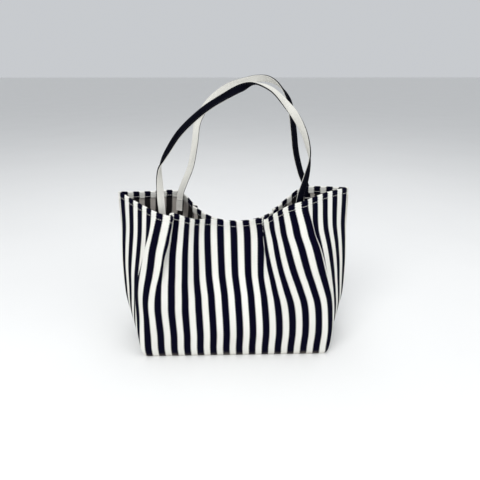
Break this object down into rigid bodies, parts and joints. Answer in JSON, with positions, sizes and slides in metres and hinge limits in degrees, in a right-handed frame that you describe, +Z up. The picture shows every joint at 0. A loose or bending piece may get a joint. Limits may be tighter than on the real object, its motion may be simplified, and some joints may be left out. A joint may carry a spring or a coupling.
{
  "type": "canvas tote bag",
  "caption": "Striped woven canvas tote bag with a boxed base, a scooped rim drawn together in the middle and narrow shoulder straps that swing over the rim.",
  "frame": {"origin": "middle of the base, on the surface that the bag stands on", "axes": "+X to the right along the bag, +Y from the front to the back, +Z up"},
  "size_m": [0.428, 0.2, 0.4948],
  "materials": {
    "striped_canvas": "heavy woven cotton, navy and off-white stripes, matt",
    "navy_tape": "ribbed woven cotton tape, navy, matt",
    "cream_tape": "ribbed woven cotton tape, cream, matt",
    "thread": "twisted sewing thread",
    "seam_edge": "overlocked seam allowance of the same cloth",
    "magnet": "nickel-plated disc"
  },
  "bodies": {
    "bag": {"front_panel": "striped_canvas", "front_hem": "striped_canvas", "front_topstitch": "thread", "front_magnet": "magnet", "front_strap_ends": "cream_tape", "front_bartacks": "thread", "back_panel": "striped_canvas", "back_hem": "striped_canvas", "back_topstitch": "thread", "back_magnet": "magnet", "back_strap_ends": "cream_tape", "back_bartacks": "thread", "left_side_seam": "seam_edge", "left_corner_seam": "seam_edge", "right_side_seam": "seam_edge", "right_corner_seam": "seam_edge", "base_seam": "seam_edge"},
    "front_handle": {"front_handle_navy_tape": "navy_tape", "front_handle_cream_tape": "cream_tape"},
    "back_handle": {"back_handle_navy_tape": "navy_tape", "back_handle_cream_tape": "cream_tape"}
  },
  "joints": [
    {"name": "front_handle_swing", "type": "hinge", "parent": "bag", "child": "front_handle", "pos_m": [0, -0.04536, 0.29065], "axis": [1, 0, 0], "range_deg": [-12, 150]},
    {"name": "back_handle_swing", "type": "hinge", "parent": "bag", "child": "back_handle", "pos_m": [0, 0.04536, 0.29065], "axis": [-1, 0, 0], "range_deg": [-12, 132]}
  ]
}
